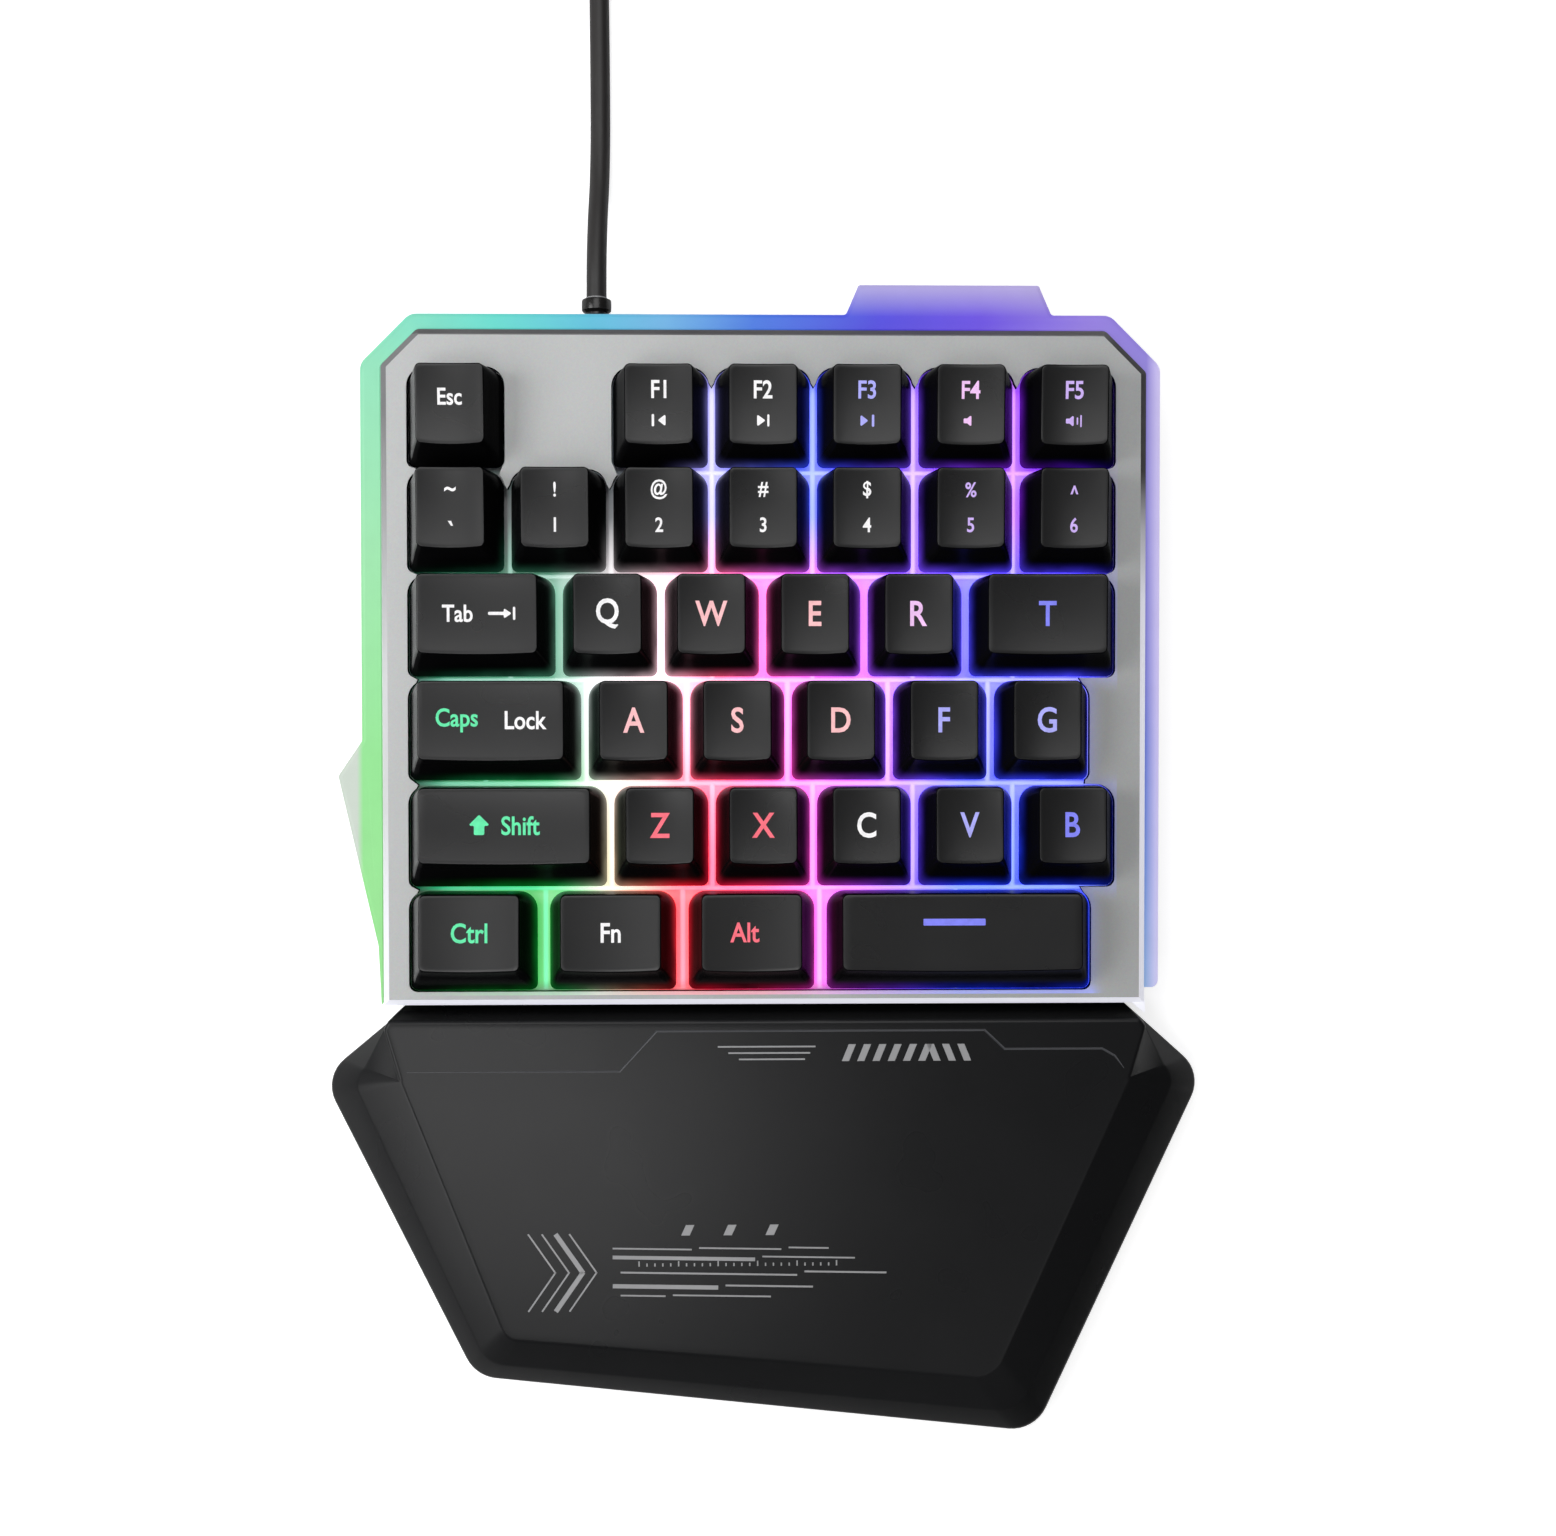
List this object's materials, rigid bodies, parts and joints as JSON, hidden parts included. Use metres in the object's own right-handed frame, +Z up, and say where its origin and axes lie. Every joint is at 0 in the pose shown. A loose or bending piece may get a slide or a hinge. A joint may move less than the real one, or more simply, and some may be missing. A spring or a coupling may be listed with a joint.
{
  "type": "gaming keypad",
  "caption": "One-hand gaming keypad with sprung keys, a lit edge strip, a fixed palm rest, fold-out tilt feet and a USB lead.",
  "frame": {"origin": "on the desk, under the middle of the keypad's box, measured without the lead, its coil and the plug", "axes": "+X to the right as it is used, +Y away from the user towards the rear edge where the lead leaves, +Z up"},
  "size_m": [0.1723, 0.3503, 0.0348],
  "materials": {
    "plate": "satin silver-grey key plate",
    "keycap": "black keycaps, satin on top",
    "strip": "frosted clear light strip, lit in a sweep from green through blue to violet",
    "deck": "white key deck, lit from below",
    "dome": "milky silicone",
    "film": "clear polyester film",
    "board": "green circuit board",
    "shell": "black, fine texture",
    "palm": "satin black",
    "rubber": "matt black rubber",
    "steel": "bright plated steel",
    "lead": "dark flexible lead and overmoulded plug"
  },
  "bodies": {
    "housing": {"top_cover": "plate", "light_strip": "strip", "key_deck": "deck", "dome_sheet": "dome", "membrane": "film", "lamp_board": "board", "controller_board": "board", "bottom_shell": "shell", "palm_rest": "palm", "rubber_pad_rear_left": "rubber", "rubber_pad_rear_right": "rubber", "rubber_pad_front_left": "rubber", "rubber_pad_front_right": "rubber", "screw_rear_left": "steel", "screw_rear_right": "steel", "screw_palm_left": "steel", "screw_palm_right": "steel", "strain_relief": "lead", "cord_lead": "lead", "cord_coil": "lead", "cord_tail": "lead", "usb_plug_body": "lead", "usb_plug_shell": "steel"},
    "keycap_esc": {"keycap_esc": "keycap"},
    "keycap_f1": {"keycap_f1": "keycap"},
    "keycap_f2": {"keycap_f2": "keycap"},
    "keycap_f3": {"keycap_f3": "keycap"},
    "keycap_f4": {"keycap_f4": "keycap"},
    "keycap_f5": {"keycap_f5": "keycap"},
    "keycap_grave": {"keycap_grave": "keycap"},
    "keycap_1": {"keycap_1": "keycap"},
    "keycap_2": {"keycap_2": "keycap"},
    "keycap_3": {"keycap_3": "keycap"},
    "keycap_4": {"keycap_4": "keycap"},
    "keycap_5": {"keycap_5": "keycap"},
    "keycap_6": {"keycap_6": "keycap"},
    "keycap_tab": {"keycap_tab": "keycap"},
    "keycap_q": {"keycap_q": "keycap"},
    "keycap_w": {"keycap_w": "keycap"},
    "keycap_e": {"keycap_e": "keycap"},
    "keycap_r": {"keycap_r": "keycap"},
    "keycap_t": {"keycap_t": "keycap"},
    "keycap_caps": {"keycap_caps": "keycap"},
    "keycap_a": {"keycap_a": "keycap"},
    "keycap_s": {"keycap_s": "keycap"},
    "keycap_d": {"keycap_d": "keycap"},
    "keycap_f": {"keycap_f": "keycap"},
    "keycap_g": {"keycap_g": "keycap"},
    "keycap_shift": {"keycap_shift": "keycap"},
    "keycap_z": {"keycap_z": "keycap"},
    "keycap_x": {"keycap_x": "keycap"},
    "keycap_c": {"keycap_c": "keycap"},
    "keycap_v": {"keycap_v": "keycap"},
    "keycap_b": {"keycap_b": "keycap"},
    "keycap_ctrl": {"keycap_ctrl": "keycap"},
    "keycap_fn": {"keycap_fn": "keycap"},
    "keycap_alt": {"keycap_alt": "keycap"},
    "keycap_space": {"keycap_space": "keycap"},
    "tilt_foot_left": {"tilt_foot_left": "shell"},
    "tilt_foot_right": {"tilt_foot_right": "shell"}
  },
  "joints": [
    {"name": "press_esc", "type": "slide", "parent": "housing", "child": "keycap_esc", "axis": [0, -0.0523, 0.9986], "range_m": [-0.0035, 0], "stiffness_N_per_m": 100, "springref_m": 0.002, "deforming": ["dome_sheet"]},
    {"name": "press_f1", "type": "slide", "parent": "housing", "child": "keycap_f1", "axis": [0, -0.0523, 0.9986], "range_m": [-0.0035, 0], "stiffness_N_per_m": 100, "springref_m": 0.002, "deforming": ["dome_sheet"]},
    {"name": "press_f2", "type": "slide", "parent": "housing", "child": "keycap_f2", "axis": [0, -0.0523, 0.9986], "range_m": [-0.0035, 0], "stiffness_N_per_m": 100, "springref_m": 0.002, "deforming": ["dome_sheet"]},
    {"name": "press_f3", "type": "slide", "parent": "housing", "child": "keycap_f3", "axis": [0, -0.0523, 0.9986], "range_m": [-0.0035, 0], "stiffness_N_per_m": 100, "springref_m": 0.002, "deforming": ["dome_sheet"]},
    {"name": "press_f4", "type": "slide", "parent": "housing", "child": "keycap_f4", "axis": [0, -0.0523, 0.9986], "range_m": [-0.0035, 0], "stiffness_N_per_m": 100, "springref_m": 0.002, "deforming": ["dome_sheet"]},
    {"name": "press_f5", "type": "slide", "parent": "housing", "child": "keycap_f5", "axis": [0, -0.0523, 0.9986], "range_m": [-0.0035, 0], "stiffness_N_per_m": 100, "springref_m": 0.002, "deforming": ["dome_sheet"]},
    {"name": "press_grave", "type": "slide", "parent": "housing", "child": "keycap_grave", "axis": [0, -0.0523, 0.9986], "range_m": [-0.0035, 0], "stiffness_N_per_m": 100, "springref_m": 0.002, "deforming": ["dome_sheet"]},
    {"name": "press_1", "type": "slide", "parent": "housing", "child": "keycap_1", "axis": [0, -0.0523, 0.9986], "range_m": [-0.0035, 0], "stiffness_N_per_m": 100, "springref_m": 0.002, "deforming": ["dome_sheet"]},
    {"name": "press_2", "type": "slide", "parent": "housing", "child": "keycap_2", "axis": [0, -0.0523, 0.9986], "range_m": [-0.0035, 0], "stiffness_N_per_m": 100, "springref_m": 0.002, "deforming": ["dome_sheet"]},
    {"name": "press_3", "type": "slide", "parent": "housing", "child": "keycap_3", "axis": [0, -0.0523, 0.9986], "range_m": [-0.0035, 0], "stiffness_N_per_m": 100, "springref_m": 0.002, "deforming": ["dome_sheet"]},
    {"name": "press_4", "type": "slide", "parent": "housing", "child": "keycap_4", "axis": [0, -0.0523, 0.9986], "range_m": [-0.0035, 0], "stiffness_N_per_m": 100, "springref_m": 0.002, "deforming": ["dome_sheet"]},
    {"name": "press_5", "type": "slide", "parent": "housing", "child": "keycap_5", "axis": [0, -0.0523, 0.9986], "range_m": [-0.0035, 0], "stiffness_N_per_m": 100, "springref_m": 0.002, "deforming": ["dome_sheet"]},
    {"name": "press_6", "type": "slide", "parent": "housing", "child": "keycap_6", "axis": [0, -0.0523, 0.9986], "range_m": [-0.0035, 0], "stiffness_N_per_m": 100, "springref_m": 0.002, "deforming": ["dome_sheet"]},
    {"name": "press_tab", "type": "slide", "parent": "housing", "child": "keycap_tab", "axis": [0, -0.0523, 0.9986], "range_m": [-0.0035, 0], "stiffness_N_per_m": 100, "springref_m": 0.002, "deforming": ["dome_sheet"]},
    {"name": "press_q", "type": "slide", "parent": "housing", "child": "keycap_q", "axis": [0, -0.0523, 0.9986], "range_m": [-0.0035, 0], "stiffness_N_per_m": 100, "springref_m": 0.002, "deforming": ["dome_sheet"]},
    {"name": "press_w", "type": "slide", "parent": "housing", "child": "keycap_w", "axis": [0, -0.0523, 0.9986], "range_m": [-0.0035, 0], "stiffness_N_per_m": 100, "springref_m": 0.002, "deforming": ["dome_sheet"]},
    {"name": "press_e", "type": "slide", "parent": "housing", "child": "keycap_e", "axis": [0, -0.0523, 0.9986], "range_m": [-0.0035, 0], "stiffness_N_per_m": 100, "springref_m": 0.002, "deforming": ["dome_sheet"]},
    {"name": "press_r", "type": "slide", "parent": "housing", "child": "keycap_r", "axis": [0, -0.0523, 0.9986], "range_m": [-0.0035, 0], "stiffness_N_per_m": 100, "springref_m": 0.002, "deforming": ["dome_sheet"]},
    {"name": "press_t", "type": "slide", "parent": "housing", "child": "keycap_t", "axis": [0, -0.0523, 0.9986], "range_m": [-0.0035, 0], "stiffness_N_per_m": 100, "springref_m": 0.002, "deforming": ["dome_sheet"]},
    {"name": "press_caps", "type": "slide", "parent": "housing", "child": "keycap_caps", "axis": [0, -0.0523, 0.9986], "range_m": [-0.0035, 0], "stiffness_N_per_m": 100, "springref_m": 0.002, "deforming": ["dome_sheet"]},
    {"name": "press_a", "type": "slide", "parent": "housing", "child": "keycap_a", "axis": [0, -0.0523, 0.9986], "range_m": [-0.0035, 0], "stiffness_N_per_m": 100, "springref_m": 0.002, "deforming": ["dome_sheet"]},
    {"name": "press_s", "type": "slide", "parent": "housing", "child": "keycap_s", "axis": [0, -0.0523, 0.9986], "range_m": [-0.0035, 0], "stiffness_N_per_m": 100, "springref_m": 0.002, "deforming": ["dome_sheet"]},
    {"name": "press_d", "type": "slide", "parent": "housing", "child": "keycap_d", "axis": [0, -0.0523, 0.9986], "range_m": [-0.0035, 0], "stiffness_N_per_m": 100, "springref_m": 0.002, "deforming": ["dome_sheet"]},
    {"name": "press_f", "type": "slide", "parent": "housing", "child": "keycap_f", "axis": [0, -0.0523, 0.9986], "range_m": [-0.0035, 0], "stiffness_N_per_m": 100, "springref_m": 0.002, "deforming": ["dome_sheet"]},
    {"name": "press_g", "type": "slide", "parent": "housing", "child": "keycap_g", "axis": [0, -0.0523, 0.9986], "range_m": [-0.0035, 0], "stiffness_N_per_m": 100, "springref_m": 0.002, "deforming": ["dome_sheet"]},
    {"name": "press_shift", "type": "slide", "parent": "housing", "child": "keycap_shift", "axis": [0, -0.0523, 0.9986], "range_m": [-0.0035, 0], "stiffness_N_per_m": 100, "springref_m": 0.002, "deforming": ["dome_sheet"]},
    {"name": "press_z", "type": "slide", "parent": "housing", "child": "keycap_z", "axis": [0, -0.0523, 0.9986], "range_m": [-0.0035, 0], "stiffness_N_per_m": 100, "springref_m": 0.002, "deforming": ["dome_sheet"]},
    {"name": "press_x", "type": "slide", "parent": "housing", "child": "keycap_x", "axis": [0, -0.0523, 0.9986], "range_m": [-0.0035, 0], "stiffness_N_per_m": 100, "springref_m": 0.002, "deforming": ["dome_sheet"]},
    {"name": "press_c", "type": "slide", "parent": "housing", "child": "keycap_c", "axis": [0, -0.0523, 0.9986], "range_m": [-0.0035, 0], "stiffness_N_per_m": 100, "springref_m": 0.002, "deforming": ["dome_sheet"]},
    {"name": "press_v", "type": "slide", "parent": "housing", "child": "keycap_v", "axis": [0, -0.0523, 0.9986], "range_m": [-0.0035, 0], "stiffness_N_per_m": 100, "springref_m": 0.002, "deforming": ["dome_sheet"]},
    {"name": "press_b", "type": "slide", "parent": "housing", "child": "keycap_b", "axis": [0, -0.0523, 0.9986], "range_m": [-0.0035, 0], "stiffness_N_per_m": 100, "springref_m": 0.002, "deforming": ["dome_sheet"]},
    {"name": "press_ctrl", "type": "slide", "parent": "housing", "child": "keycap_ctrl", "axis": [0, -0.0523, 0.9986], "range_m": [-0.0035, 0], "stiffness_N_per_m": 100, "springref_m": 0.002, "deforming": ["dome_sheet"]},
    {"name": "press_fn", "type": "slide", "parent": "housing", "child": "keycap_fn", "axis": [0, -0.0523, 0.9986], "range_m": [-0.0035, 0], "stiffness_N_per_m": 100, "springref_m": 0.002, "deforming": ["dome_sheet"]},
    {"name": "press_alt", "type": "slide", "parent": "housing", "child": "keycap_alt", "axis": [0, -0.0523, 0.9986], "range_m": [-0.0035, 0], "stiffness_N_per_m": 100, "springref_m": 0.002, "deforming": ["dome_sheet"]},
    {"name": "press_space", "type": "slide", "parent": "housing", "child": "keycap_space", "axis": [0, -0.0523, 0.9986], "range_m": [-0.0035, 0], "stiffness_N_per_m": 100, "springref_m": 0.002, "deforming": ["dome_sheet"]},
    {"name": "unfold_foot_left", "type": "hinge", "parent": "housing", "child": "tilt_foot_left", "pos_m": [-0.056, 0.09416, 0.0038], "axis": [1, 0, 0], "range_deg": [0, 100]},
    {"name": "unfold_foot_right", "type": "hinge", "parent": "housing", "child": "tilt_foot_right", "pos_m": [0.056, 0.09416, 0.0038], "axis": [1, 0, 0], "range_deg": [0, 100]}
  ]
}
